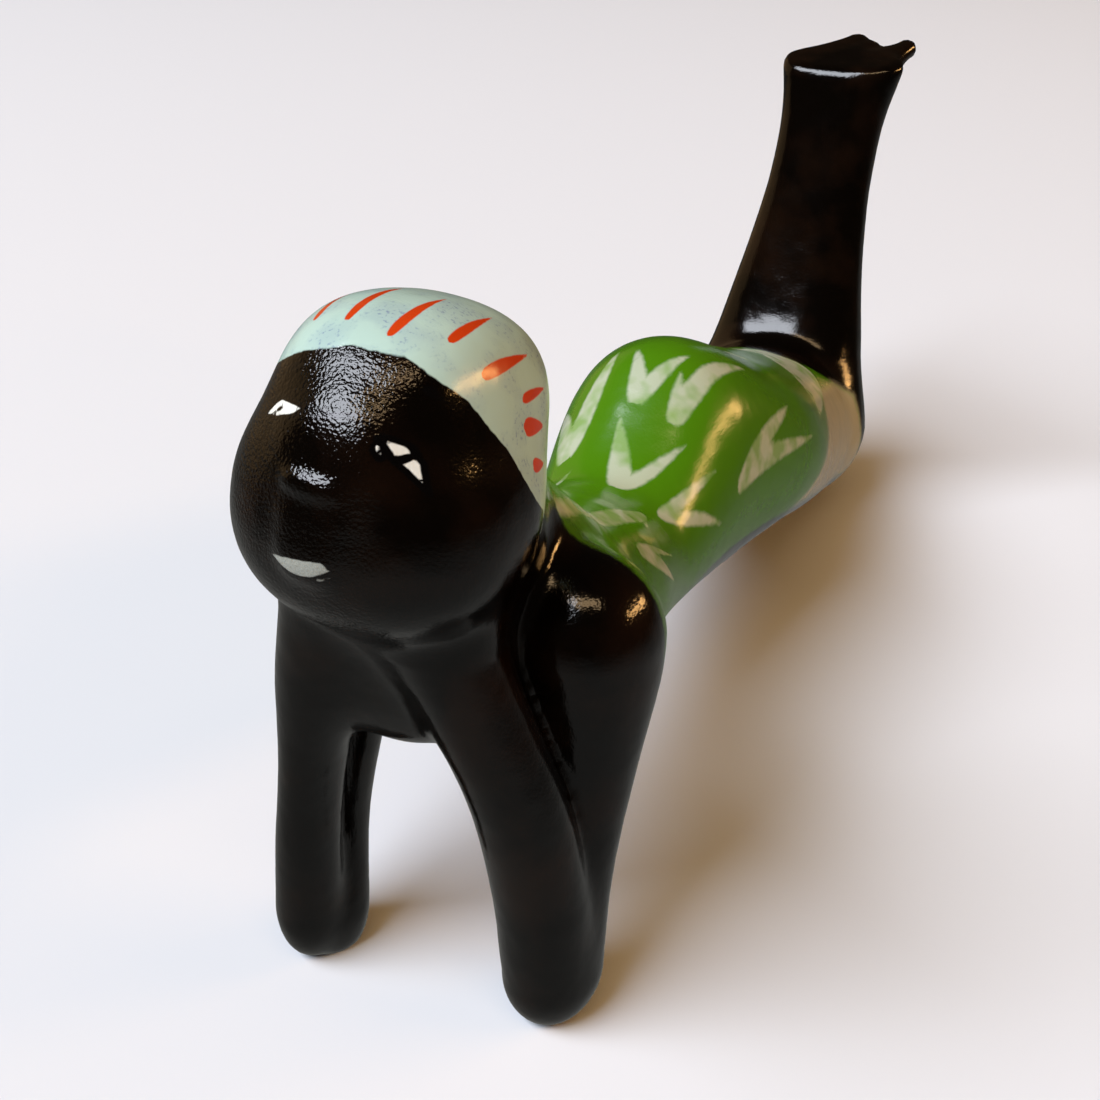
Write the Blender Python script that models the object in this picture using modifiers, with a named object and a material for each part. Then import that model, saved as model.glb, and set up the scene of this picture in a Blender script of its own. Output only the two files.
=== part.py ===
"""Reclining bather figurine: one cast, glazed figure that lies on its front with its chin on its arms.

The figure looks towards -Y, its left side is +X, and it stands on z = 0 on both elbows and both knees.
Blender 4.5, metres. Run it with: blender --background --python part.py
"""
import math

import bmesh
import bpy
import numpy as np
from mathutils import Matrix

# Sizes. The figure is drawn in parts, and LENGTH says how long the real one is from face to toes.
LENGTH = 0.142
LENGTH_IN_PARTS = 142.0
PART = LENGTH / LENGTH_IN_PARTS

RUBBED_FLAT = 0.35          # how much of the elbows and knees is rubbed off flat, in parts
CAST_TRIANGLES = 7600       # what the finished surface is thinned to
CLAY_GRAIN = 0.95           # grid of the rough clay, in parts
BODY_BALLS = 24             # balls of rough clay along the body
LIMB_BALLS = 10             # and along each limb
BALL_SIDES, BALL_RINGS = 18, 12
SMOOTHINGS = 2
SMOOTHING_SHARE = 0.5
SLOPE_REACH = 0.02          # how far apart the form is felt for its slope, in parts
LONGEST_MOVE = 0.8          # the most one step may move a vertex, in parts
LEAST_STEEPNESS = 0.25

# Body, from breast to knees: place along the back, height of its middle, half width, half height
BODY = (
    (8.0, 31.0, 11.0, 9.0),
    (20.0, 27.2, 10.5, 8.4),
    (32.0, 23.4, 9.0, 8.1),
    (46.0, 26.0, 10.8, 14.0),
    (62.0, 22.9, 13.6, 12.0),
    (80.0, 16.4, 12.7, 11.6),
    (97.0, 11.5, 12.0, 11.5),
)
BREAST_ROUNDING = 9.0
KNEE_ROUNDING = 10.7

SHOULDERS = (0.0, 4.3, 32.5)
SHOULDERS_HALF = (14.3, 8.5, 7.2)
SHOULDERS_LEAN = -12.0
SHOULDERS_SQUARENESS = 2.3

# Arms, shaped by hand, so the two don't match: height, x and y of the middle, half width, half depth
LEFT_UPPER_ARM = (
    (5.0, 10.8, -2.9, 3.8, 3.8),
    (14.0, 10.8, -1.3, 3.6, 3.7),
    (22.0, 10.7, 0.0, 4.3, 4.3),
    (29.0, 10.3, 0.6, 5.4, 5.2),
    (34.5, 10.1, 0.8, 5.8, 5.9),
)
LEFT_FOREARM = (
    (5.0, 10.6, -4.5, 3.9, 4.1),
    (14.0, 9.9, -5.6, 3.9, 3.9),
    (24.0, 8.2, -7.2, 3.9, 3.8),
    (31.0, 5.9, -8.6, 4.0, 3.8),
    (38.0, 3.4, -9.8, 4.2, 3.8),
)
RIGHT_UPPER_ARM = (
    (4.0, -10.0, -4.6, 3.2, 3.4),
    (13.0, -10.7, -2.2, 2.9, 3.2),
    (20.0, -10.7, -0.9, 3.5, 3.8),
    (28.0, -10.7, 0.6, 4.3, 4.7),
    (35.0, -11.1, 1.5, 5.1, 5.5),
)
RIGHT_FOREARM = (
    (6.0, -10.6, -7.1, 2.9, 3.2),
    (14.0, -10.1, -7.7, 2.6, 3.0),
    (24.0, -8.9, -8.0, 2.7, 3.5),
    (31.0, -7.5, -8.7, 3.6, 3.7),
    (38.0, -5.8, -9.4, 4.2, 3.8),
)
LEFT_ELBOW_ROUNDING = 5.3
RIGHT_ELBOW_ROUNDING = 5.7
SHOULDER_ROUNDING = 6.6
THROAT = (-0.5, -7.0, 41.0, 6.5)
THROAT_FOOT = (-1.2, -3.5, 30.9, 5.2)
WEB = (-2.6, -6.2, 35.6)
WEB_HALF = (8.0, 4.6, 9.2)
WEB_SQUARENESS = 2.2
NECK = (0.0, 6.0, 35.0, 8.0)
NECK_TOP = (-0.5, -2.0, 44.0, 7.5)

# Lower legs, grown together into one slab, with the same five values
LEGS = (
    (12.0, 0.0, 98.8, 11.9, 8.0),
    (22.0, -0.2, 102.4, 10.0, 6.4),
    (32.0, -0.2, 105.4, 8.1, 5.1),
    (43.0, 0.1, 108.2, 6.7, 4.2),
    (50.0, 0.3, 109.8, 6.7, 3.9),
    (57.0, 0.5, 111.2, 7.8, 3.7),
)
LEGS_ROUNDING = (7.0, 4.0)
LEGS_SQUARENESS = 2.5
LEFT_FOOT = ((3.9, 112.0, 56.4, 2.9), (6.9, 119.6, 58.4, 1.3))
RIGHT_FOOT = ((-3.7, 111.8, 56.4, 2.9), (0.4, 118.5, 58.8, 1.6))
BETWEEN_FEET = ((0.0, 112.0, 56.4, 3.0), (2.2, 116.8, 58.2, 1.8))
SOLES = (0.0, 111.5, 58.0)
SOLES_LEAN = (0.05, 0.24)   # how much the soles rise towards +X and towards +Y, for each part

# Head, in its own frame: face to -y, crown to +z
HEAD = (-0.9, -8.6, 50.5)
HEAD_TURN = (-4.4, -16.2, 1.8)
CRANIUM = (-0.1, 0.9, 3.4)
CRANIUM_HALF = (8.25, 10.5, 8.5)
CRANIUM_SQUARENESS = 2.45
JAW = (0.0, -0.6, -2.9)
JAW_HALF = (10.5, 9.9, 8.8)
JAW_SQUARENESS = 2.2
NOSE_BRIDGE = (0.7, -8.9, 1.9)
NOSE_BRIDGE_HALF = (3.4, 1.8, 3.6)
NOSE = (0.25, -10.2, -0.1)
NOSE_HALF = (2.3, 1.3, 0.95)
NOSE_SQUARENESS = 2.5
MUZZLE = (0.35, -8.9, -3.3)
MUZZLE_HALF = (2.6, 2.2, 3.4)
MUZZLE_SQUARENESS = 2.8

# Fillets, how softly the masses run into each other
FACE_FILLET = 5.0
BROW_FILLET = 3.6
NOSE_FILLET = 0.9
LIP_FILLET = 1.6
CHIN_FILLET = 4.0
WEB_FILLET = 4.0
WRIST_FILLET = 1.5
ELBOW_FILLET = 1.8
SHOULDER_FILLET = 5.4
NECK_FILLET = 5.0
KNEE_FILLET = 5.0
FOOT_FILLET = 2.0
SOLE_EDGE = 1.5

GLAZE_COLOUR = (0.012, 0.008, 0.006)
GLAZE_ROUGHNESS = 0.15


# The form: signed distances to rounded masses, run together like clay
def turned(yaw, pitch, roll):
    """Rotation matrix from angles in degrees: roll first, then pitch, then yaw."""
    return np.array(
        Matrix.Rotation(math.radians(yaw), 3, "Z")
        @ Matrix.Rotation(math.radians(pitch), 3, "X")
        @ Matrix.Rotation(math.radians(roll), 3, "Y")
    )


def limb(points, start, end):
    """Distance to a round limb that tapers from start to end, each (x, y, z, radius)."""
    start, end = np.array(start), np.array(end)
    axis = end[:3] - start[:3]
    along = np.clip((points - start[:3]) @ axis / (axis @ axis), 0.0, 1.0)
    middle = start[:3] + along[:, None] * axis
    taper = along**2 * (3.0 - 2.0 * along)
    return np.linalg.norm(points - middle, axis=1) - (start[3] + taper * (end[3] - start[3]))


def lump(points, centre, half, squareness=2.0):
    """Distance to an ellipsoid, boxier above a squareness of 2."""
    half = np.array(half)
    share = np.abs((points - np.array(centre)) / half) + 1e-9
    reach = (share**squareness).sum(axis=1) ** (1.0 / squareness)
    slope = share ** (squareness - 1.0) / half * (reach ** (1.0 - squareness))[:, None]
    return (reach - 1.0) / np.maximum(np.linalg.norm(slope, axis=1), 1e-9)


def blend(first, second, fillet):
    """Union of two masses with a soft fillet between them."""
    overlap = np.maximum(fillet - np.abs(first - second), 0.0) / fillet
    return np.minimum(first, second) - overlap**3 * fillet / 6.0


def along(stations, place, column):
    """Smooth curve through one column of the stations."""
    stations = np.array(stations)
    at, value = stations[:, 0], stations[:, column]
    slope = np.gradient(value, at)
    first = np.clip(np.searchsorted(at, place) - 1, 0, len(at) - 2)
    gap = at[first + 1] - at[first]
    t = np.clip((place - at[first]) / gap, 0.0, 1.0)
    start_share = 2 * t**3 - 3 * t**2 + 1
    start = start_share * value[first] + (t**3 - 2 * t**2 + t) * gap * slope[first]
    end = (1 - start_share) * value[first + 1] + (t**3 - t**2) * gap * slope[first + 1]
    return start + end


def body(points):
    """Distance to the body: oval sections from breast to knees, rounded off at both ends."""
    place = np.clip(points[:, 1], BODY[0][0], BODY[-1][0])
    middle, wide, high = (along(BODY, place, column) for column in (1, 2, 3))
    beyond = points[:, 1] - place
    end = np.where(beyond > 0, KNEE_ROUNDING, BREAST_ROUNDING)
    offset = np.stack([points[:, 0], beyond, points[:, 2] - middle], axis=1)
    return lump(offset, 0.0, np.stack([wide, end, high], axis=1))


def head(points):
    """Distance to the head: cranium and jaw, then the bridge of the nose, lips and nose."""
    local = (points - np.array(HEAD)) @ turned(*HEAD_TURN)
    cranium = lump(local, CRANIUM, CRANIUM_HALF, CRANIUM_SQUARENESS)
    shape = blend(cranium, lump(local, JAW, JAW_HALF, JAW_SQUARENESS), FACE_FILLET)
    shape = blend(shape, lump(local, NOSE_BRIDGE, NOSE_BRIDGE_HALF), BROW_FILLET)
    shape = blend(shape, lump(local, MUZZLE, MUZZLE_HALF, MUZZLE_SQUARENESS), LIP_FILLET)
    return blend(shape, lump(local, NOSE, NOSE_HALF, NOSE_SQUARENESS), NOSE_FILLET)


def upright(points, stations, rounding, squareness=2.0):
    """Distance to an upright limb: oval sections up its stations, rounded off below and above."""
    place = np.clip(points[:, 2], stations[0][0], stations[-1][0])
    x, y, wide, deep = (along(stations, place, column) for column in (1, 2, 3, 4))
    offset = points - np.stack([x, y, place], axis=1)
    high = np.where(offset[:, 2] > 0, rounding[1], rounding[0])
    return lump(offset, 0.0, np.stack([wide, deep, high], axis=1), squareness)


def arm(points, upper, forearm, elbow_rounding):
    """Distance to one arm: upper arm and forearm, which meet at the elbow."""
    rounding = (elbow_rounding, SHOULDER_ROUNDING)
    return blend(upright(points, upper, rounding), upright(points, forearm, rounding), ELBOW_FILLET)


def legs(points):
    """Distance to the lower legs and feet. The soles are cut along a leaning plane."""
    shape = upright(points, LEGS, LEGS_ROUNDING, LEGS_SQUARENESS)
    for foot in (LEFT_FOOT, RIGHT_FOOT, BETWEEN_FEET):
        shape = blend(shape, limb(points, *foot), FOOT_FILLET)
    x, y, height = (points - np.array(SOLES)).T
    return -blend(-shape, SOLES_LEAN[0] * x + SOLES_LEAN[1] * y - height, SOLE_EDGE)


def figure(points):
    """Distance in parts from each point to the whole figure, less than nothing inside."""
    leaning = (points - np.array(SHOULDERS)) @ turned(0.0, SHOULDERS_LEAN, 0.0)
    shape = blend(body(points), legs(points), KNEE_FILLET)
    shape = blend(shape, lump(leaning, 0.0, SHOULDERS_HALF, SHOULDERS_SQUARENESS), NECK_FILLET)
    shape = blend(shape, limb(points, NECK, NECK_TOP), NECK_FILLET)
    left = arm(points, LEFT_UPPER_ARM, LEFT_FOREARM, LEFT_ELBOW_ROUNDING)
    right = arm(points, RIGHT_UPPER_ARM, RIGHT_FOREARM, RIGHT_ELBOW_ROUNDING)
    arms = blend(left, right, WRIST_FILLET)
    arms = blend(arms, limb(points, THROAT, THROAT_FOOT), WEB_FILLET)
    arms = blend(arms, lump(points, WEB, WEB_HALF, WEB_SQUARENESS), WEB_FILLET)
    shape = blend(shape, arms, SHOULDER_FILLET)
    return blend(shape, head(points), CHIN_FILLET)


# The cast: rough clay from balls, brought to the form, thinned and rubbed flat
def ball(bm, unit_ball, centre, half, frame=None):
    """Press one ball of clay into bm, stretched to three half sizes in its own frame."""
    place = Matrix.Translation([value * PART for value in centre])
    if frame is not None:
        place = place @ Matrix(frame.tolist()).to_4x4()
    clay = unit_ball.copy()
    clay.transform(place @ Matrix.Diagonal([value * PART for value in half] + [1.0]))
    bm.from_mesh(clay)
    bpy.data.meshes.remove(clay)


def roll_of_balls(bm, unit_ball, start, end):
    """Balls in a row along a tapering limb."""
    for share in np.linspace(0.0, 1.0, LIMB_BALLS):
        x, y, z, radius = (1.0 - share) * np.array(start) + share * np.array(end)
        ball(bm, unit_ball, (x, y, z), (radius, radius, radius))


def rough_clay():
    """All the masses of the figure as balls of clay in one mesh."""
    bpy.ops.mesh.primitive_uv_sphere_add(segments=BALL_SIDES, ring_count=BALL_RINGS, radius=1.0)
    template = bpy.context.object
    unit_ball = template.data
    bm = bmesh.new()
    for place in np.linspace(BODY[0][0], BODY[-1][0], BODY_BALLS):
        middle, wide, high = (float(along(BODY, place, column)) for column in (1, 2, 3))
        deep = min(place - BODY[0][0] + BREAST_ROUNDING, BODY[-1][0] - place + KNEE_ROUNDING, wide)
        ball(bm, unit_ball, (0.0, place, middle), (wide, deep, high))
    for stations in (LEGS, LEFT_UPPER_ARM, LEFT_FOREARM, RIGHT_UPPER_ARM, RIGHT_FOREARM):
        for height in np.linspace(stations[0][0], stations[-1][0], BODY_BALLS):
            x, y, wide, deep = (float(along(stations, height, column)) for column in (1, 2, 3, 4))
            ball(bm, unit_ball, (x, y, height), (wide, deep, deep))
    ball(bm, unit_ball, SHOULDERS, SHOULDERS_HALF, turned(0.0, SHOULDERS_LEAN, 0.0))
    ball(bm, unit_ball, WEB, WEB_HALF)
    limbs = [(NECK, NECK_TOP), (THROAT, THROAT_FOOT), LEFT_FOOT, RIGHT_FOOT, BETWEEN_FEET]
    for start, end in limbs:
        roll_of_balls(bm, unit_ball, start, end)
    frame = turned(*HEAD_TURN)
    for centre, half in ((CRANIUM, CRANIUM_HALF), (JAW, JAW_HALF), (NOSE, NOSE_HALF)):
        ball(bm, unit_ball, np.array(HEAD) + frame @ np.array(centre), half, frame)
    clay = bpy.data.meshes.new("rough_clay")
    bm.to_mesh(clay)
    bm.free()
    bpy.data.objects.remove(template)
    return clay


def with_modifier(obj, name, kind, **settings):
    """Add one modifier to an object and apply it to the object's mesh."""
    modifier = obj.modifiers.new(name, kind)
    for key, value in settings.items():
        setattr(modifier, key, value)
    evaluated = obj.evaluated_get(bpy.context.evaluated_depsgraph_get())
    mesh = bpy.data.meshes.new_from_object(evaluated)
    obj.modifiers.clear()
    obj.data = mesh


def vertex_points(mesh):
    """The mesh's vertices as an array, in metres."""
    points = np.empty(len(mesh.vertices) * 3)
    mesh.vertices.foreach_get("co", points)
    return points.reshape(-1, 3)


def move_vertices(mesh, points):
    """Give the mesh's vertices new places, in metres."""
    mesh.vertices.foreach_set("co", points.ravel())
    mesh.update()


def bring_to_form(mesh, steps=3):
    """Move every vertex along the form's slope until it lies on the form."""
    points = vertex_points(mesh) / PART
    for _ in range(steps):
        distance = figure(points)
        slope = np.stack(
            [figure(points + reach) - figure(points - reach) for reach in np.eye(3) * SLOPE_REACH],
            axis=1,
        ) / (2.0 * SLOPE_REACH)
        steepness = np.maximum((slope**2).sum(axis=1), LEAST_STEEPNESS)
        move = np.clip(distance / steepness, -LONGEST_MOVE, LONGEST_MOVE)
        points -= move[:, None] * slope
    move_vertices(mesh, points * PART)


def rub_flat_and_centre(mesh):
    """Flatten what touches the ground, then centre the figure over the origin, standing on z = 0."""
    points = vertex_points(mesh)
    points[:, 2] = np.maximum(points[:, 2], RUBBED_FLAT * PART)
    low, high = points.min(axis=0), points.max(axis=0)
    points -= [(low[0] + high[0]) / 2.0, (low[1] + high[1]) / 2.0, low[2]]
    move_vertices(mesh, points)


def glaze():
    """Black-brown glossy glaze over fired clay."""
    material = bpy.data.materials.new("black_brown_glaze")
    material.use_nodes = True
    shader = material.node_tree.nodes["Principled BSDF"]
    shader.inputs["Base Color"].default_value = (*GLAZE_COLOUR, 1.0)
    shader.inputs["Roughness"].default_value = GLAZE_ROUGHNESS
    shader.inputs["Metallic"].default_value = 0.0
    return material


def cast_figurine():
    """The whole figurine, one closed body."""
    figurine = bpy.data.objects.new("bather_figurine", rough_clay())
    collection = bpy.data.collections.new("reclining_bather_figurine")
    bpy.context.scene.collection.children.link(collection)
    collection.objects.link(figurine)
    with_modifier(figurine, "press", "REMESH", mode="VOXEL", voxel_size=CLAY_GRAIN * PART)
    for _ in range(SMOOTHINGS):
        bring_to_form(figurine.data)
        with_modifier(figurine, "smooth", "SMOOTH", factor=SMOOTHING_SHARE, iterations=SMOOTHINGS)
    bring_to_form(figurine.data)
    triangles = sum(len(face.vertices) - 2 for face in figurine.data.polygons)
    share = CAST_TRIANGLES / triangles
    with_modifier(figurine, "thin", "DECIMATE", ratio=share, use_collapse_triangulate=True)
    bring_to_form(figurine.data)
    rub_flat_and_centre(figurine.data)
    figurine.data.name = figurine.name
    figurine.data.materials.clear()
    figurine.data.materials.append(glaze())
    figurine.data.shade_smooth()
    return figurine


for leftover in list(bpy.data.objects):
    bpy.data.objects.remove(leftover)
cast_figurine()
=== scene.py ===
"""A reclining bather figurine of glazed earthenware, painted by hand, on a pale studio floor.

The figure looks towards -Y and its left side is +X. Lengths marked mm are on the real figurine.
"""
import math

import bmesh
import bpy
import numpy as np
from mathutils import Matrix, Vector, noise


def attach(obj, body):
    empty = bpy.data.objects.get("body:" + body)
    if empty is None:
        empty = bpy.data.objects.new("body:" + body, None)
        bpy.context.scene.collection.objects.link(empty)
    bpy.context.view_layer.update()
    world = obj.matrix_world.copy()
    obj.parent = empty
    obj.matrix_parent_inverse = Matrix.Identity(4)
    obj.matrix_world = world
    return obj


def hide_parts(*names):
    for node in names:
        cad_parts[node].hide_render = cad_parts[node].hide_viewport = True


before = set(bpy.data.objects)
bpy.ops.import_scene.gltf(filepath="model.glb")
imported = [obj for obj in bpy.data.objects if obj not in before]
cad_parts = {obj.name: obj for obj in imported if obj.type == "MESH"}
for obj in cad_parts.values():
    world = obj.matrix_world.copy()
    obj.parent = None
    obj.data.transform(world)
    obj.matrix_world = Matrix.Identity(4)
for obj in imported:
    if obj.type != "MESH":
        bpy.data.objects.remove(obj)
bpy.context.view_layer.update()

# The cast body
# One hollow slip cast of red-brown earthenware: head, arms, body and legs left the plaster mould in one.
# Its seams were sponged away by hand before firing, so the walls are soft and a little uneven.
MM = 0.001                          # metres
DRAWING_MIDDLE = np.array([-0.113, 50.177, 0.35])   # where the frame's origin lies in the drawing, in mm
FINE_GRAIN = 0.52                   # mm, the squares of the fine surface
FINE_FACE = (7.6, -5.5, -7.5)       # mm in the head: half width, back and foot of the painted face
FINE_CROWN = (5.5, 1.5)             # mm in the head: the back and the foot of the dashes' ring
ARM_CREASE = (8.5, -7.5, 29.0)      # mm, where the left forearm meets its upper arm
ARM_CREASE_HALF = (3.5, 3.5, 13.0)
SPONGED = ((5.5, 0.05), (1.8, 0.012))   # mm, how wide and how deep the sponge's waves are

# Body, from breast to knees: place along the back, height of its middle, half width, half height
BODY = (
    (8.0, 31.0, 11.0, 9.0),
    (20.0, 27.2, 10.5, 8.4),
    (32.0, 23.4, 9.0, 8.1),
    (46.0, 26.0, 10.8, 14.0),
    (62.0, 22.9, 13.6, 12.0),
    (80.0, 16.4, 12.7, 11.6),
    (97.0, 11.5, 12.0, 11.5),
)
BREAST_ROUNDING = 9.0
KNEE_ROUNDING = 10.7

SHOULDERS = (0.0, 4.3, 32.5)
SHOULDERS_HALF = (14.3, 8.5, 7.2)
SHOULDERS_LEAN = -12.0
SHOULDERS_SQUARENESS = 2.3

# Arms, shaped by hand, so the two don't match: height, x and y of the middle, half width, half depth
LEFT_UPPER_ARM = (
    (5.0, 10.8, -2.9, 3.8, 3.8),
    (14.0, 10.8, -1.3, 3.6, 3.7),
    (22.0, 10.7, 0.0, 4.3, 4.3),
    (29.0, 10.3, 0.6, 5.4, 5.2),
    (34.5, 10.1, 0.8, 5.8, 5.9),
)
LEFT_FOREARM = (
    (5.0, 10.6, -4.5, 3.9, 4.1),
    (14.0, 9.9, -5.6, 3.9, 3.9),
    (24.0, 8.2, -7.2, 3.9, 3.8),
    (31.0, 5.9, -8.6, 4.0, 3.8),
    (38.0, 3.4, -9.8, 4.2, 3.8),
)
RIGHT_UPPER_ARM = (
    (4.0, -10.0, -4.6, 3.2, 3.4),
    (13.0, -10.7, -2.2, 2.9, 3.2),
    (20.0, -10.7, -0.9, 3.5, 3.8),
    (28.0, -10.7, 0.6, 4.3, 4.7),
    (35.0, -11.1, 1.5, 5.1, 5.5),
)
RIGHT_FOREARM = (
    (6.0, -10.6, -7.1, 2.9, 3.2),
    (14.0, -10.1, -7.7, 2.6, 3.0),
    (24.0, -8.9, -8.0, 2.7, 3.5),
    (31.0, -7.5, -8.7, 3.6, 3.7),
    (38.0, -5.8, -9.4, 4.2, 3.8),
)
LEFT_ELBOW_ROUNDING = 5.3
RIGHT_ELBOW_ROUNDING = 5.7
SHOULDER_ROUNDING = 6.6
THROAT = (-0.5, -7.0, 41.0, 6.5)
THROAT_FOOT = (-1.2, -3.5, 30.9, 5.2)
WEB = (-2.6, -6.2, 35.6)
WEB_HALF = (8.0, 4.6, 9.2)
WEB_SQUARENESS = 2.2
NECK = (0.0, 6.0, 35.0, 8.0)
NECK_TOP = (-0.5, -2.0, 44.0, 7.5)

# Lower legs, grown together into one slab, with the same five values
LEGS = (
    (12.0, 0.0, 98.8, 11.9, 8.0),
    (22.0, -0.2, 102.4, 10.0, 6.4),
    (32.0, -0.2, 105.4, 8.1, 5.1),
    (43.0, 0.1, 108.2, 6.7, 4.2),
    (50.0, 0.3, 109.8, 6.7, 3.9),
    (57.0, 0.5, 111.2, 7.8, 3.7),
)
LEGS_ROUNDING = (7.0, 4.0)
LEGS_SQUARENESS = 2.5
LEFT_FOOT = ((3.9, 112.0, 56.4, 2.9), (6.9, 119.6, 58.4, 1.3))
RIGHT_FOOT = ((-3.7, 111.8, 56.4, 2.9), (0.4, 118.5, 58.8, 1.6))
BETWEEN_FEET = ((0.0, 112.0, 56.4, 3.0), (2.2, 116.8, 58.2, 1.8))
SOLES = (0.0, 111.5, 58.0)
SOLES_LEAN = (0.05, 0.24)   # how much the soles rise towards +X and towards +Y, for each mm

# Head, in its own frame: face to -y, crown to +z
HEAD = (-0.9, -8.6, 50.5)
HEAD_TURN = (-4.4, -16.2, 1.8)
CRANIUM = (-0.1, 0.9, 3.4)
CRANIUM_HALF = (8.25, 10.5, 8.5)
CRANIUM_SQUARENESS = 2.45
JAW = (0.0, -0.6, -2.9)
JAW_HALF = (10.5, 9.9, 8.8)
JAW_SQUARENESS = 2.2
NOSE_BRIDGE = (0.7, -8.9, 1.9)
NOSE_BRIDGE_HALF = (3.4, 1.8, 3.6)
NOSE = (0.25, -10.2, -0.1)
NOSE_HALF = (2.3, 1.3, 0.95)
NOSE_SQUARENESS = 2.5
MUZZLE = (0.35, -8.9, -3.3)
MUZZLE_HALF = (2.6, 2.2, 3.4)
MUZZLE_SQUARENESS = 2.8

# Fillets, how softly the masses run into each other
FACE_FILLET = 5.0
BROW_FILLET = 3.6
NOSE_FILLET = 0.9
LIP_FILLET = 1.6
CHIN_FILLET = 4.0
WEB_FILLET = 4.0
WRIST_FILLET = 1.5
ELBOW_FILLET = 1.8
SHOULDER_FILLET = 5.4
NECK_FILLET = 5.0
KNEE_FILLET = 5.0
FOOT_FILLET = 2.0
SOLE_EDGE = 1.5


def turned(yaw, pitch, roll):
    """Rotation matrix from angles in degrees: roll first, then pitch, then yaw."""
    return np.array(
        Matrix.Rotation(math.radians(yaw), 3, "Z")
        @ Matrix.Rotation(math.radians(pitch), 3, "X")
        @ Matrix.Rotation(math.radians(roll), 3, "Y")
    )


def limb(points, start, end):
    """Distance to a round limb that tapers from start to end, each (x, y, z, radius)."""
    start, end = np.array(start), np.array(end)
    axis = end[:3] - start[:3]
    along = np.clip((points - start[:3]) @ axis / (axis @ axis), 0.0, 1.0)
    middle = start[:3] + along[:, None] * axis
    taper = along**2 * (3.0 - 2.0 * along)
    return np.linalg.norm(points - middle, axis=1) - (start[3] + taper * (end[3] - start[3]))


def lump(points, centre, half, squareness=2.0):
    """Distance to an ellipsoid, boxier above a squareness of 2."""
    half = np.array(half)
    share = np.abs((points - np.array(centre)) / half) + 1e-9
    reach = (share**squareness).sum(axis=1) ** (1.0 / squareness)
    slope = share ** (squareness - 1.0) / half * (reach ** (1.0 - squareness))[:, None]
    return (reach - 1.0) / np.maximum(np.linalg.norm(slope, axis=1), 1e-9)


def blend(first, second, fillet):
    """Union of two masses with a soft fillet between them."""
    overlap = np.maximum(fillet - np.abs(first - second), 0.0) / fillet
    return np.minimum(first, second) - overlap**3 * fillet / 6.0


def along(stations, place, column):
    """Smooth curve through one column of the stations."""
    stations = np.array(stations)
    at, value = stations[:, 0], stations[:, column]
    slope = np.gradient(value, at)
    first = np.clip(np.searchsorted(at, place) - 1, 0, len(at) - 2)
    gap = at[first + 1] - at[first]
    t = np.clip((place - at[first]) / gap, 0.0, 1.0)
    start_share = 2 * t**3 - 3 * t**2 + 1
    start = start_share * value[first] + (t**3 - 2 * t**2 + t) * gap * slope[first]
    end = (1 - start_share) * value[first + 1] + (t**3 - t**2) * gap * slope[first + 1]
    return start + end


def body(points):
    """Distance to the body: oval sections from breast to knees, rounded off at both ends."""
    place = np.clip(points[:, 1], BODY[0][0], BODY[-1][0])
    middle, wide, high = (along(BODY, place, column) for column in (1, 2, 3))
    beyond = points[:, 1] - place
    end = np.where(beyond > 0, KNEE_ROUNDING, BREAST_ROUNDING)
    offset = np.stack([points[:, 0], beyond, points[:, 2] - middle], axis=1)
    return lump(offset, 0.0, np.stack([wide, end, high], axis=1))


def in_head(points):
    """Places in the head's own frame: face to -y, crown to +z."""
    return (points - np.array(HEAD)) @ turned(*HEAD_TURN)


def head(points):
    """Distance to the head: cranium and jaw, then the bridge of the nose, lips and nose."""
    local = in_head(points)
    cranium = lump(local, CRANIUM, CRANIUM_HALF, CRANIUM_SQUARENESS)
    shape = blend(cranium, lump(local, JAW, JAW_HALF, JAW_SQUARENESS), FACE_FILLET)
    shape = blend(shape, lump(local, NOSE_BRIDGE, NOSE_BRIDGE_HALF), BROW_FILLET)
    shape = blend(shape, lump(local, MUZZLE, MUZZLE_HALF, MUZZLE_SQUARENESS), LIP_FILLET)
    return blend(shape, lump(local, NOSE, NOSE_HALF, NOSE_SQUARENESS), NOSE_FILLET)


def upright(points, stations, rounding, squareness=2.0):
    """Distance to an upright limb: oval sections up its stations, rounded off below and above."""
    place = np.clip(points[:, 2], stations[0][0], stations[-1][0])
    x, y, wide, deep = (along(stations, place, column) for column in (1, 2, 3, 4))
    offset = points - np.stack([x, y, place], axis=1)
    high = np.where(offset[:, 2] > 0, rounding[1], rounding[0])
    return lump(offset, 0.0, np.stack([wide, deep, high], axis=1), squareness)


def arm(points, upper, forearm, elbow_rounding):
    """Distance to one arm: upper arm and forearm, which meet at the elbow."""
    rounding = (elbow_rounding, SHOULDER_ROUNDING)
    return blend(upright(points, upper, rounding), upright(points, forearm, rounding), ELBOW_FILLET)


def legs(points):
    """Distance to the lower legs and feet. The soles are cut along a leaning plane."""
    shape = upright(points, LEGS, LEGS_ROUNDING, LEGS_SQUARENESS)
    for foot in (LEFT_FOOT, RIGHT_FOOT, BETWEEN_FEET):
        shape = blend(shape, limb(points, *foot), FOOT_FILLET)
    x, y, height = (points - np.array(SOLES)).T
    return -blend(-shape, SOLES_LEAN[0] * x + SOLES_LEAN[1] * y - height, SOLE_EDGE)


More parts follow.
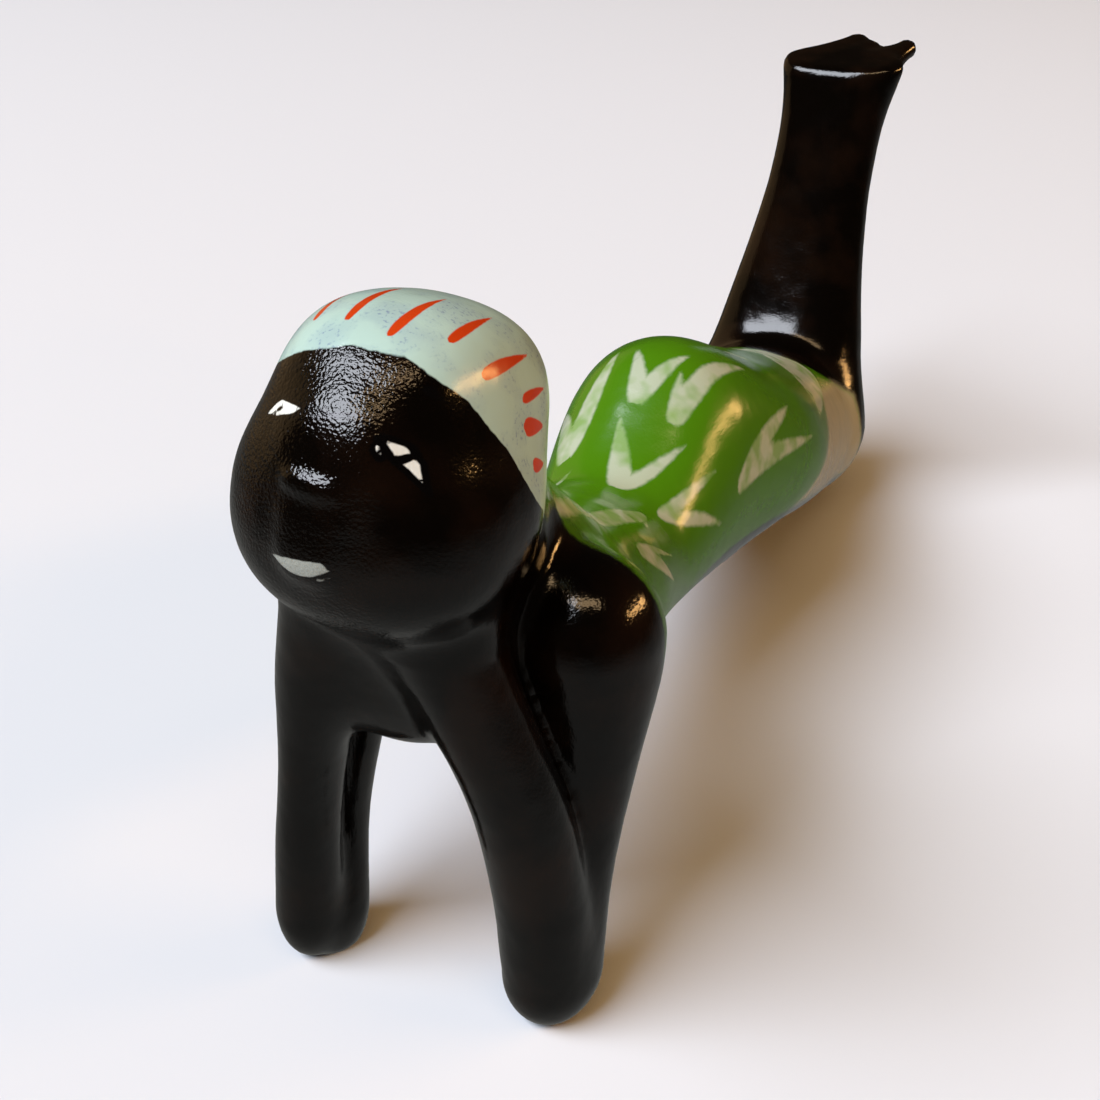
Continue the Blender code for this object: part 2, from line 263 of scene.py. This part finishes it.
def figure(points):
    """Distance in mm from each point to the whole figure, less than nothing inside."""
    leaning = (points - np.array(SHOULDERS)) @ turned(0.0, SHOULDERS_LEAN, 0.0)
    shape = blend(body(points), legs(points), KNEE_FILLET)
    shape = blend(shape, lump(leaning, 0.0, SHOULDERS_HALF, SHOULDERS_SQUARENESS), NECK_FILLET)
    shape = blend(shape, limb(points, NECK, NECK_TOP), NECK_FILLET)
    left = arm(points, LEFT_UPPER_ARM, LEFT_FOREARM, LEFT_ELBOW_ROUNDING)
    right = arm(points, RIGHT_UPPER_ARM, RIGHT_FOREARM, RIGHT_ELBOW_ROUNDING)
    arms = blend(left, right, WRIST_FILLET)
    arms = blend(arms, limb(points, THROAT, THROAT_FOOT), WEB_FILLET)
    arms = blend(arms, lump(points, WEB, WEB_HALF, WEB_SQUARENESS), WEB_FILLET)
    shape = blend(shape, arms, SHOULDER_FILLET)
    return blend(shape, head(points), CHIN_FILLET)


def drawn(mesh):
    """The mesh's vertices in the drawing's millimetres."""
    points = np.empty(len(mesh.vertices) * 3)
    mesh.vertices.foreach_get("co", points)
    return points.reshape(-1, 3) / MM + DRAWING_MIDDLE


def put_back(mesh, points):
    """Give the mesh's vertices new places, in the drawing's millimetres."""
    mesh.vertices.foreach_set("co", ((points - DRAWING_MIDDLE) * MM).ravel())
    mesh.update()


def slope_of(points, reach=0.02):
    """The form's slope at each point."""
    rises = [figure(points + step) - figure(points - step) for step in np.eye(3) * reach]
    return np.stack(rises, axis=1) / (2.0 * reach)


def bring_to_form(mesh, steps=3, longest=0.8, least_steep=0.25):
    """Move every vertex along the form's slope until it lies on the form, no step longer than longest."""
    points = drawn(mesh)
    for _ in range(steps):
        slope = slope_of(points)
        steepness = np.maximum((slope**2).sum(axis=1), least_steep)
        points -= np.clip(figure(points) / steepness, -longest, longest)[:, None] * slope
    put_back(mesh, points)


def press_fine(solid):
    """The cast's surface again, in squares fine enough for its soft turns and its paint."""
    cast = bpy.data.objects.new("painted_bather", solid.data.copy())
    bpy.context.scene.collection.objects.link(cast)
    remesh = cast.modifiers.new("fine", "REMESH")
    remesh.mode = "VOXEL"
    remesh.voxel_size = FINE_GRAIN * MM
    mesh = bpy.data.meshes.new_from_object(cast.evaluated_get(bpy.context.evaluated_depsgraph_get()))
    cast.modifiers.clear()
    cast.data = mesh
    bring_to_form(mesh)
    return cast


def split_where(mesh, chosen):
    """Cut the squares in two both ways wherever chosen says so, then bring them back to the form."""
    close = chosen(drawn(mesh))
    bm = bmesh.new()
    bm.from_mesh(mesh)
    bm.verts.ensure_lookup_table()
    edges = [edge for edge in bm.edges if close[edge.verts[0].index] and close[edge.verts[1].index]]
    bmesh.ops.subdivide_edges(bm, edges=edges, cuts=1, use_grid_fill=True)
    bm.to_mesh(mesh)
    bm.free()
    bring_to_form(mesh, steps=2)


def fine_there(points):
    """True where the eyes, brows, mouth and dashes are painted, and in the crease of the left arm."""
    x, y, z = in_head(points).T
    face = (np.abs(x) < FINE_FACE[0]) & (y < FINE_FACE[1]) & (z > FINE_FACE[2])
    crown = (y < FINE_CROWN[0]) & (z > FINE_CROWN[1])
    crease = (np.abs(points - np.array(ARM_CREASE)) < np.array(ARM_CREASE_HALF)).all(axis=1)
    return face | crown | crease


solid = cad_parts["bather_figurine"]
bather = press_fine(solid)
split_where(bather.data, fine_there)
places = drawn(bather.data)
lean = slope_of(places)
lean /= np.linalg.norm(lean, axis=1)[:, None]
uneven = sum(
    depth * np.array([noise.noise(Vector(place) / width) for place in places]) for width, depth in SPONGED
)
sponged = places + lean * (uneven - sum(depth for _, depth in SPONGED) / 2.0)[:, None]
sponged[:, 2] = np.maximum(sponged[:, 2], DRAWING_MIDDLE[2])    # elbows and knees still stand on the floor
put_back(bather.data, sponged)
bather.data.shade_smooth()
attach(bather, "root")
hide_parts("bather_figurine")


def keep_with_cast(name, values):
    """Keep one number for each vertex on the cast, for its paint to read."""
    bather.data.attributes.new(name, "FLOAT", "POINT").data.foreach_set("value", values.astype(np.float32))


# The face
# Eyes and mouth are white enamel, laid over the fired glaze with a fine brush and fired once more. The
# mouth's off-white is given grey: painted shade.
# Each eye is a sliver of white with a black pupil, a black line round it and a faint black brow over it.
# Beside the near eye, a fleck of white enamel is a painted highlight.
# Corners and ends are in mm across and up the head, and each stroke ends with half its width.
ENAMEL_WHITE = "#DEDED4"
# painted shade: the mouth's off-white enamel, darkened to grey
SHADED_MOUTH_WHITE = "#8E9087"
INK = "#040303"
FAR_EYE = ((-5.1, 3.0), (-4.3, 3.95), (-3.85, 4.25), (-1.75, 4.35), (-2.35, 3.85), (-3.9, 3.25))
FAR_PUPIL = ((-3.5, 3.95), (-4.7, 3.0), 0.15)
FAR_EYE_LINES = (((-5.6, 2.7), (-4.3, 4.7), 0.4), ((-4.7, 4.1), (-1.2, 4.6), 0.42))
NEAR_EYE = ((4.25, 3.5), (4.35, 3.75), (5.2, 3.55), (6.1, 2.6), (6.6, 1.4), (5.75, 1.9), (4.95, 2.9))
NEAR_PUPIL = ((4.85, 2.5), (6.15, 3.4), 0.32)
# a painted highlight: a fleck of white enamel beside the near eye stands for a glint on the glaze
NEAR_EYE_GLINT = ((3.92, 3.4), (4.28, 2.8), 0.1)
NEAR_EYE_LINES = (((3.6, 3.9), (5.6, 3.8), 0.3), ((5.4, 3.7), (6.9, 1.0), 0.3))
EYE_LINE = 0.34
BROWS = (((-3.15, 6.7), (-4.6, 6.0), 0.3), ((5.0, 7.2), (6.3, 6.4), 0.26))
MOUTH = ((-2.3, -5.4), (-0.7, -5.1), (1.95, -4.7), (2.4, -5.15), (1.2, -5.9), (0.2, -6.1), (-0.55, -6.0))
LOWER_LIP = ((1.5, -6.1), (2.4, -5.65), 0.09)
FACE_BACK = -3.0            # mm in the head, behind which nothing of the face is painted
FAR = 9.0                   # mm, farther from a painted edge than any place that counts
BRUSH_FOOT = 0.3            # how a press narrows at its foot: 0 is cut square, 1 as pointed as the tip
BRUSH_FULLNESS = 0.82       # makes its widest place as wide as asked


def brush_patch(across, along_it, corners):
    """How deep in mm each place lies inside a patch filled in with a fine brush. Corners run clockwise."""
    depth = np.full(len(across), FAR)
    for (x, z), (next_x, next_z) in zip(corners, corners[1:] + corners[:1]):
        side = math.hypot(next_x - x, next_z - z)
        depth = np.minimum(depth, ((across - x) * (next_z - z) - (along_it - z) * (next_x - x)) / side)
    return depth


def brush_press(across, along_it, foot, tip, half):
    """How deep in mm each place lies inside one press of a round brush, blunt at foot and drawn to a tip."""
    foot, tip = np.array(foot), np.array(tip)
    length = np.linalg.norm(tip - foot) / 2.0
    run = (tip - foot) / length / 2.0
    offset = np.stack([across, along_it], axis=1) - (foot + tip) / 2.0
    share = offset @ run / length
    aside = np.abs(offset @ np.array([-run[1], run[0]]))
    kept = np.clip(share, -1.0, 1.0)
    width = BRUSH_FULLNESS * half * (1.0 - kept) * (1.0 + kept) ** BRUSH_FOOT
    return width - np.hypot(aside, (share - kept) * length)


local = in_head(places)
face_x, face_z = local[:, 0], local[:, 2]
front = np.where(local[:, 1] < FACE_BACK, 0.0, -FAR)
whites_and_glint = np.maximum(brush_patch(face_x, face_z, FAR_EYE), brush_patch(face_x, face_z, NEAR_EYE))
# the whites take in the painted highlight beside the near eye, which gets a black line round it too
whites_and_glint = np.maximum(whites_and_glint, brush_press(face_x, face_z, *NEAR_EYE_GLINT))
pupils = np.maximum(brush_press(face_x, face_z, *FAR_PUPIL), brush_press(face_x, face_z, *NEAR_PUPIL))
lines = np.maximum(whites_and_glint + EYE_LINE, pupils)
for stroke in FAR_EYE_LINES + NEAR_EYE_LINES + BROWS:
    lines = np.maximum(lines, brush_press(face_x, face_z, *stroke))
lips = np.maximum(brush_patch(face_x, face_z, MOUTH), brush_press(face_x, face_z, *LOWER_LIP))
keep_with_cast("eye_line", lines + front)
keep_with_cast("eye_white_and_glint", np.minimum(whites_and_glint, -pupils) + front)
keep_with_cast("lips", lips + front)


# The head scarf
# A flat wash of pale mint enamel over crown and nape, its front edge cut with short straight strokes.
# Round it goes a ring of orange-red dashes, each pressed down near the face and drawn off to the back.
MINT = "#A8C1B5"
MINT_SPECK = "#76879A"
ORANGE_RED = "#BC3A10"
SPECK = 0.3                 # mm, grey pits in the wash, drawn a little coarser than real so that they show
SCARF_EDGE = (              # degrees round the head from the face, and mm up it
    (-180.0, -4.6), (-135.0, -4.2), (-109.0, -0.9), (-90.0, 1.2), (-67.0, 4.2), (-39.0, 6.2), (-22.0, 7.5),
    (-2.0, 8.6), (24.0, 8.7), (32.0, 8.2), (54.0, 6.65), (67.0, 4.95), (79.0, 3.5), (90.0, 1.3), (98.5, 0.0),
    (109.0, -0.9), (135.0, -4.2), (180.0, -4.6),
)
SCARF_TILT = 1.28           # mm straight up for each mm across the edge
NAPE_ROOM = 0.8             # mm, how far the scarf runs out into the turn of the neck
CROWN_MIDDLE = -2.0         # mm, height in the head of the line that the dashes are spaced round
UNPAINTED = -3.0            # mm, as far from the paint as is told apart
DASHES = (                  # degrees round the crown, then mm: start, length, half width and lean aside
    (-21.4, -6.4, 6.0, 0.30, 0.6), (-8.2, -6.9, 7.3, 0.33, 0.2), (8.2, -7.1, 6.9, 0.38, -0.5),
    (21.5, -4.8, 6.5, 0.36, -1.0), (34.0, -3.5, 6.8, 0.44, -0.85), (42.8, 0.7, 4.3, 0.34, -0.7),
    (51.2, 0.6, 3.7, 0.6, 0.0), (65.0, 1.3, 2.6, 0.5, 0.0), (-34.0, -3.6, 6.5, 0.4, 0.85),
    (-43.0, 0.5, 4.3, 0.34, 0.7), (-52.0, 0.6, 3.6, 0.55, 0.0), (-65.0, 1.3, 2.7, 0.5, 0.0),
)

round_head = np.degrees(np.arctan2(local[:, 0], -local[:, 1]))
edge_height = np.interp(round_head, *np.array(SCARF_EDGE).T)
scarf = np.minimum((local[:, 2] - edge_height) / SCARF_TILT, NAPE_ROOM - head(places))
keep_with_cast("scarf", scarf)

crown_turn = np.degrees(np.arctan2(local[:, 0], local[:, 2] - CROWN_MIDDLE))
crown_reach = np.hypot(local[:, 0], local[:, 2] - CROWN_MIDDLE)
dashes = np.full(len(places), UNPAINTED)
for turn, start, length, half, aside in DASHES:
    around = np.radians(crown_turn - turn) * crown_reach
    press = brush_press(around, local[:, 1], (0.0, start), (aside, start + length), half)
    dashes = np.maximum(dashes, press)
keep_with_cast("scarf_dash", np.minimum(dashes, scarf))


# The bathing suit
# Green enamel from behind the shoulders to the backs of the knees, its pale ground left bare by the knees.
# White V marks cover it, two presses of a round brush each. The belly underneath is left black.
GREEN = "#437308"
HEM_WHITE = "#A39A7A"
LEAF_WHITE = "#A7AF95"
THIN_LEAF = "#7C9A5A"
NECKLINE = (2.4, 45.6)      # mm along the body and up
ARMHOLE = (33.0, 0.7)       # mm up, below which the front edge slants back, and how fast
KNEE_FOLD = 97.0            # mm along the body
SHIN_FOOT = (85.0, 26.3)    # mm along the body and up, where the lower legs rise out of the suit
SHIN_SLANT = 0.7            # how fast the suit's edge drops from there round the sides of the legs
BELLY = 24.2                # mm round from the spine
BARE_HEM = 9.5              # mm round from the spine, from where the ground is left bare
HEM_FLARE = 1.5             # how fast the bare hem widens down the sides
FLAT_RADIUS = 12.0          # mm, the round of the body that the marks were laid out on
VEES = (                    # foot, then the tips of its two leaves and half their widths, in mm
    ((1.9, 31.3), (-2.2, 38.8), 1.5, (7.2, 38.8), 0.9),
    ((-0.7, 40.0), (-3.1, 46.0), 1.05, (3.0, 46.6), 1.0),
    ((4.7, 39.5), (3.0, 44.0), 0.95, (7.0, 53.4), 1.2),
    ((-8.8, 35.6), (-5.6, 46.6), 1.7, (-14.2, 44.6), 1.3),
    ((6.9, 28.4), (4.4, -2.0), 1.25, (9.4, 24.0), 0.3),
    ((8.2, 30.8), (12.3, 40.0), 0.9, (18.2, 39.6), 0.85),
    ((10.6, 17.4), (13.6, 27.0), 0.6, (17.2, 24.6), 1.25),
    ((16.8, 43.0), (11.3, 58.2), 1.05, (15.0, 62.8), 1.05),
    ((3.2, 86.0), (-4.2, 75.0), 1.6, (13.0, 71.5), 4.2),
    ((-1.0, 56.0), (-5.0, 62.0), 1.0, (4.4, 62.4), 1.0),
    ((-9.4, 53.0), (-13.4, 59.8), 1.0, (-6.0, 61.0), 1.0),
    ((-9.0, 27.0), (-14.6, 32.6), 0.9, (-6.4, 33.6), 0.9),
    ((-11.0, 13.6), (-15.0, 19.0), 0.8, (-8.6, 20.6), 0.8),
    ((-8.2, 69.4), (-13.2, 75.4), 1.0, (-4.4, 76.6), 1.0),
    ((-16.6, 41.0), (-19.6, 49.0), 0.9, (-14.6, 50.0), 0.9),
)

body_place = np.clip(places[:, 1], BODY[0][0], BODY[-1][0])
middle, wide, high = (along(BODY, body_place, column) for column in (1, 2, 3))
round_body = np.arctan2(places[:, 0] / wide, (places[:, 2] - middle) / high) * FLAT_RADIUS
neckline = NECKLINE[0] + ARMHOLE[1] * np.maximum(ARMHOLE[0] - places[:, 2], 0.0)
shin = SHIN_FOOT[1] - places[:, 2] - SHIN_SLANT * (places[:, 1] - SHIN_FOOT[0])
suit = np.minimum(np.minimum(places[:, 1] - neckline, KNEE_FOLD - places[:, 1]), shin)
suit = np.minimum(np.minimum(suit, NECKLINE[1] - places[:, 2]), BELLY - np.abs(round_body))
suit = np.minimum(suit, -UNPAINTED)
bare_hem = (places[:, 1] - (KNEE_FOLD - HEM_FLARE * np.abs(round_body))) / math.hypot(1.0, HEM_FLARE)
bare_hem = np.minimum(bare_hem, np.minimum(np.abs(round_body) - BARE_HEM, suit))
leaves = np.full(len(places), UNPAINTED)
for foot, left_tip, left_half, right_tip, right_half in VEES:
    leaves = np.maximum(leaves, brush_press(round_body, places[:, 1], foot, left_tip, left_half))
    leaves = np.maximum(leaves, brush_press(round_body, places[:, 1], foot, right_tip, right_half))
keep_with_cast("suit", np.maximum(suit, UNPAINTED))
keep_with_cast("bare_hem", np.clip(bare_hem, UNPAINTED, -UNPAINTED))
keep_with_cast("leaves", np.minimum(leaves, suit))


# The glaze, and how the enamels lie on it
# Black-brown lead glaze, dipped and fired glossy: to the eye a wet black shine, broken by the fine dimples of
# an orange's skin, deepest on the head, and brown where it ran thin. The enamels over it are smoother and a
# little less shiny, with edges as ragged as the brush left them.
GLAZE = "#040201"
THIN_GLAZE = "#160B05"
GLAZE_IOR = 1.45
GLAZE_ROUGHNESS = (0.08, 0.16)      # where it is thickest and where it is thinnest
DIMPLE = 0.24               # mm between the dimples of the glaze
DIMPLE_DEPTH = 0.06         # mm, on the head
LIMB_DIMPLES = 0.3          # how deep the dimples are elsewhere, as a share of that
HEAD_DIMPLES_END = 2.0      # mm beyond the head, where they are as shallow as that
SMOOTH_CHEEK = 3.5          # mm across the head, from where the left cheek is smoother too
CHEEK_TURN = 2.5            # mm, over which it gets smoother
RIPPLE = 2.4                # mm between the slow waves of the glaze
RIPPLE_DEPTH = 0.07         # mm
BRISTLE = 0.7               # mm, how coarse a brushed edge is
COAT = 3.0                  # mm, patches of a thicker and a thinner coat
THIN_PATCH = 8.0            # mm, patches where the glaze ran thin


def linear(code):
    """Linear RGBA from an sRGB hex colour."""
    shares = [int(code[at : at + 2], 16) / 255.0 for at in (1, 3, 5)]
    return (*(x / 12.92 if x <= 0.04045 else ((x + 0.055) / 1.055) ** 2.4 for x in shares), 1.0)


glazed = bpy.data.materials.new("painted_glazed_earthenware")
glazed.use_nodes = True
tree = glazed.node_tree
shader = tree.nodes["Principled BSDF"]
shader.inputs["IOR"].default_value = GLAZE_IOR
shader.inputs["Metallic"].default_value = 0.0


def add(kind, inputs, **settings):
    """Add one node. inputs gives each socket a value or the output that feeds it."""
    made = tree.nodes.new(kind)
    for key, value in settings.items():
        setattr(made, key, value)
    for key, value in inputs.items():
        if isinstance(value, bpy.types.NodeSocket):
            tree.links.new(value, made.inputs[key])
        else:
            made.inputs[key].default_value = value
    return made.outputs["Result" if kind == "ShaderNodeMapRange" else 2 if kind == "ShaderNodeMix" else 0]


where = add("ShaderNodeTexCoord", {}).node.outputs["Object"]
grains = {}
for name, size, detail in (
    ("dimple", DIMPLE, 1.0), ("ripple", RIPPLE, 1.0), ("bristle", BRISTLE, 2.0), ("speck", SPECK, 3.0),
    ("patch", THIN_PATCH, 3.0), ("coat", COAT, 2.0),
):
    grain = {"Vector": where, "Scale": 1.0 / (size * MM), "Detail": detail}
    grains[name] = add("ShaderNodeTexNoise", grain)

thin = add("ShaderNodeMapRange", {"Value": grains["patch"], "From Min": 0.48, "From Max": 0.76})
colour = add("ShaderNodeMix", {0: thin, 6: linear(GLAZE), 7: linear(THIN_GLAZE)}, data_type="RGBA")
pits = {"Value": grains["speck"], "From Min": 0.56, "From Max": 0.7, "To Min": 0.25}
speck = add("ShaderNodeMapRange", pits)
worn = add("ShaderNodeMapRange", {"Value": grains["coat"], "From Min": 0.45, "From Max": 0.65})
specks = add("ShaderNodeMath", {0: speck, 1: worn}, operation="MULTIPLY")
mint = add("ShaderNodeMix", {0: specks, 6: linear(MINT), 7: linear(MINT_SPECK)}, data_type="RGBA")
leaf_white = add("ShaderNodeMix", {0: worn, 6: linear(LEAF_WHITE), 7: linear(THIN_LEAF)}, data_type="RGBA")
bristle = add("ShaderNodeMath", {0: grains["bristle"], 1: 0.5}, operation="SUBTRACT")
smooth_cheek = np.clip(1.0 - (face_x - SMOOTH_CHEEK) / CHEEK_TURN, LIMB_DIMPLES, 1.0)
keep_with_cast("dimpled", np.clip(1.0 - head(places) / HEAD_DIMPLES_END, LIMB_DIMPLES, smooth_cheek))

cover = {}
for area, enamel, soft, ragged in (     # the last two in mm: how soft and how ragged the edge is
    ("scarf", mint, 0.06, 0.2),
    ("scarf_dash", linear(ORANGE_RED), 0.06, 0.08),
    ("suit", linear(GREEN), 0.35, 0.6),
    ("bare_hem", linear(HEM_WHITE), 1.1, 0.8),
    ("leaves", leaf_white, 0.28, 0.35),
    ("eye_line", linear(INK), 0.05, 0.1),
    # the eye whites, with the painted highlight beside the near eye
    ("eye_white_and_glint", linear(ENAMEL_WHITE), 0.05, 0.1),
    # the mouth: off-white enamel darkened to grey as painted shade
    ("lips", linear(SHADED_MOUTH_WHITE), 0.06, 0.12),
):
    depth = add("ShaderNodeAttribute", {}, attribute_name=area).node.outputs["Fac"]
    uneven_depth = add("ShaderNodeMath", {0: bristle, 1: ragged, 2: depth}, operation="MULTIPLY_ADD")
    edge = {"Value": uneven_depth, "From Min": -soft, "From Max": soft}
    cover[area] = add("ShaderNodeMapRange", edge, interpolation_type="SMOOTHSTEP")
    colour = add("ShaderNodeMix", {0: cover[area], 6: colour, 7: enamel}, data_type="RGBA")
tree.links.new(colour, shader.inputs["Base Color"])

polish = {"Value": grains["coat"], "To Min": GLAZE_ROUGHNESS[0], "To Max": GLAZE_ROUGHNESS[1]}
gloss = add("ShaderNodeMapRange", polish)
for area, rougher in (("scarf", 0.09), ("suit", 0.08)):
    gloss = add("ShaderNodeMath", {0: cover[area], 1: rougher, 2: gloss}, operation="MULTIPLY_ADD")
tree.links.new(gloss, shader.inputs["Roughness"])

dimpled = add("ShaderNodeAttribute", {}, attribute_name="dimpled").node.outputs["Fac"]
for area, smoother in (("scarf", 0.25), ("suit", 0.6)):
    kept = add("ShaderNodeMapRange", {"Value": cover[area], "To Min": 1.0, "To Max": smoother})
    dimpled = add("ShaderNodeMath", {0: kept, 1: dimpled}, operation="MULTIPLY")
bumps = {"Height": grains["dimple"], "Distance": DIMPLE_DEPTH * MM, "Strength": dimpled}
waves = {"Height": grains["ripple"], "Distance": RIPPLE_DEPTH * MM, "Normal": add("ShaderNodeBump", bumps)}
tree.links.new(add("ShaderNodeBump", waves), shader.inputs["Normal"])
bather.data.materials.clear()
bather.data.materials.append(glazed)


# The studio
# A pale matt floor, a wide cool window high before the figure's right side, a long warm lamp low behind its
# left hip, a small warm light overhead and a dim warm wall beyond its right side. The glaze mirrors a dim
# room above and a dull table below, and the eye sees a pale backdrop.
FLOOR = "#D6D9DD"
FLOOR_RADIUS = 1.2          # metres
FLOOR_ROUGHNESS = 0.9
LIGHTS = {                  # degrees of turn, height and roll, metres away, wide and tall, glow and colour
    "window": (-37.0, 48.0, 8.0, 3.0, 2.3, 1.5, 14.0, "#F0F5FF"),
    "lamp": (119.0, 21.0, -20.0, 2.0, 1.7, 0.22, 17.0, "#FFC278"),
    "ceiling": (28.0, 61.0, 0.0, 2.4, 1.45, 0.4, 6.0, "#FFD7A3"),
    "wall": (-108.0, 12.0, 0.0, 3.0, 4.0, 2.2, 0.32, "#FFD39A"),
}
ROOM = "#2A241D"
TABLE = "#7E7E7B"
TABLE_EDGE = (-0.5, -0.1)   # how far down a mirrored ray points where the table fades into the room
BACKDROP = "#E6E7EA"

floor_mesh = bpy.data.meshes.new("floor")
bm = bmesh.new()
bmesh.ops.create_circle(bm, cap_ends=True, segments=96, radius=FLOOR_RADIUS)
bm.to_mesh(floor_mesh)
bm.free()
floor = bpy.data.objects.new("floor", floor_mesh)
bpy.context.scene.collection.objects.link(floor)
floor_paint = bpy.data.materials.new("pale_matt_floor")
floor_paint.use_nodes = True
floor_shader = floor_paint.node_tree.nodes["Principled BSDF"]
floor_shader.inputs["Base Color"].default_value = linear(FLOOR)
floor_shader.inputs["Roughness"].default_value = FLOOR_ROUGHNESS
floor_mesh.materials.append(floor_paint)
floor.visible_glossy = False    # the gloss mirrors the dull table instead


def stand(thing, turn, height, roll, away, aim):
    """Stand a thing away from its aim, in the direction that turn and height give, and face it to the aim."""
    turn, height, roll = (math.radians(angle) for angle in (turn, height, roll))
    flat = math.cos(height)
    towards = Vector((math.sin(turn) * flat, -math.cos(turn) * flat, math.sin(height)))
    thing.location = aim + towards * away
    thing.rotation_mode = "QUATERNION"
    facing = towards.to_track_quat("Z", "Y")
    thing.rotation_quaternion = facing @ Matrix.Rotation(roll, 3, "Z").to_quaternion()
    bpy.context.scene.collection.objects.link(thing)


for name, (turn, height, roll, away, wide, tall, glow, tint) in LIGHTS.items():
    light = bpy.data.lights.new(name, "AREA")
    light.shape = "RECTANGLE"
    light.size, light.size_y = wide, tall
    light.color = linear(tint)[:3]
    light.energy = glow * math.pi * wide * tall
    stand(bpy.data.objects.new(name, light), turn, height, roll, away, Vector((0.0, 0.0, 0.0)))

world = bpy.data.worlds.new("dim_room_pale_backdrop")
world.use_nodes = True
tree = world.node_tree
upward = add("ShaderNodeSeparateXYZ", {0: add("ShaderNodeTexCoord", {})}).node.outputs["Z"]
edge = {"Value": upward, "From Min": TABLE_EDGE[0], "From Max": TABLE_EDGE[1]}
above = add("ShaderNodeMapRange", edge)
around = add("ShaderNodeMix", {0: above, 6: linear(TABLE), 7: linear(ROOM)}, data_type="RGBA")
straight = add("ShaderNodeLightPath", {}).node.outputs["Is Camera Ray"]
seen = add("ShaderNodeMix", {0: straight, 6: around, 7: linear(BACKDROP)}, data_type="RGBA")
tree.links.new(seen, tree.nodes["Background"].inputs["Color"])
bpy.context.scene.world = world


# The camera
# A phone held close, about a hand's length before the figure's face, a little to its left.
# It looks down on the head and along the back, with everything in focus.
CAMERA_TURN = 21.8          # degrees from straight before the face towards the figure's left
CAMERA_HEIGHT = 29.3        # degrees above level
CAMERA_ROLL = 2.8           # degrees
CAMERA_AWAY = 130.0         # mm from its aim
CAMERA_AIM = np.array([1.1, 15.0, 32.5])    # mm in the drawing
HALF_PICTURE = 550.0        # pixels
FOCAL_LENGTH = 1500.0       # pixels
NEAREST = 0.01              # metres

lens = bpy.data.cameras.new("camera")
lens.angle = 2.0 * math.atan(HALF_PICTURE / FOCAL_LENGTH)
lens.clip_start = NEAREST
camera = bpy.data.objects.new("camera", lens)
aim = Vector((CAMERA_AIM - DRAWING_MIDDLE) * MM)
stand(camera, CAMERA_TURN, CAMERA_HEIGHT, CAMERA_ROLL, CAMERA_AWAY * MM, aim)
bpy.context.scene.camera = camera
bpy.context.scene.view_settings.view_transform = "Standard"
